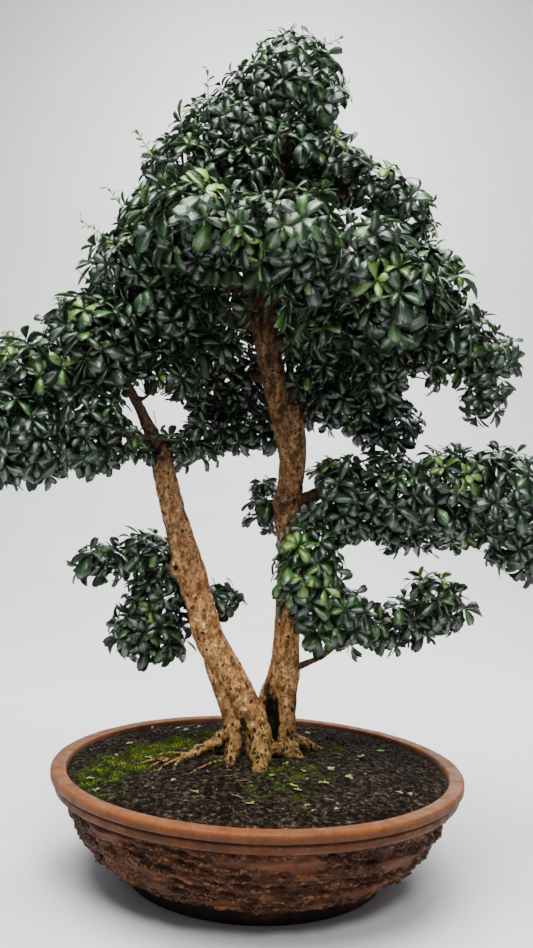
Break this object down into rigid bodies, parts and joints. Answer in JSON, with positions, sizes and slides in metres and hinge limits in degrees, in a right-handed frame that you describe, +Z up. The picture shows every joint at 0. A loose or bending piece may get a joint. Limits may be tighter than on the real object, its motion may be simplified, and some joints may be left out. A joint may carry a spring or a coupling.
{
  "type": "fukien tea bonsai",
  "caption": "Twin-trunk broadleaf bonsai with layered pads of small glossy leaves, planted in a round rough-sided clay pot.",
  "frame": {"origin": "centre of the pot's flat underside", "axes": "+Z up, the tree's front faces -Y"},
  "size_m": [0.8515, 0.6, 1.273],
  "materials": {
    "clay": "matte",
    "soil": "matte",
    "bark": "matte",
    "leaf": "satin",
    "mesh_plastic": "matte"
  },
  "bodies": {
    "root": {"pot": "clay", "soil": "soil", "wood": "bark", "drainage_screen_1": "mesh_plastic", "drainage_screen_2": "mesh_plastic", "drainage_screen_3": "mesh_plastic", "foliage_crown_apex": "leaf", "foliage_crown_left": "leaf", "foliage_crown_mid": "leaf", "foliage_crown_right": "leaf", "foliage_front_dome": "leaf", "foliage_front_right": "leaf", "foliage_upper_left": "leaf", "foliage_left_upper": "leaf", "foliage_left_lower": "leaf", "foliage_left_inner": "leaf", "foliage_right_upper": "leaf", "foliage_right_tip": "leaf", "foliage_right_mid": "leaf", "foliage_back_low": "leaf", "foliage_back_mid": "leaf", "foliage_back_left": "leaf", "foliage_back_right": "leaf", "foliage_right_pad": "leaf", "foliage_behind_pad": "leaf", "foliage_front_pad": "leaf", "foliage_right_low_pad": "leaf", "foliage_left_low_pad": "leaf"}
  },
  "joints": []
}
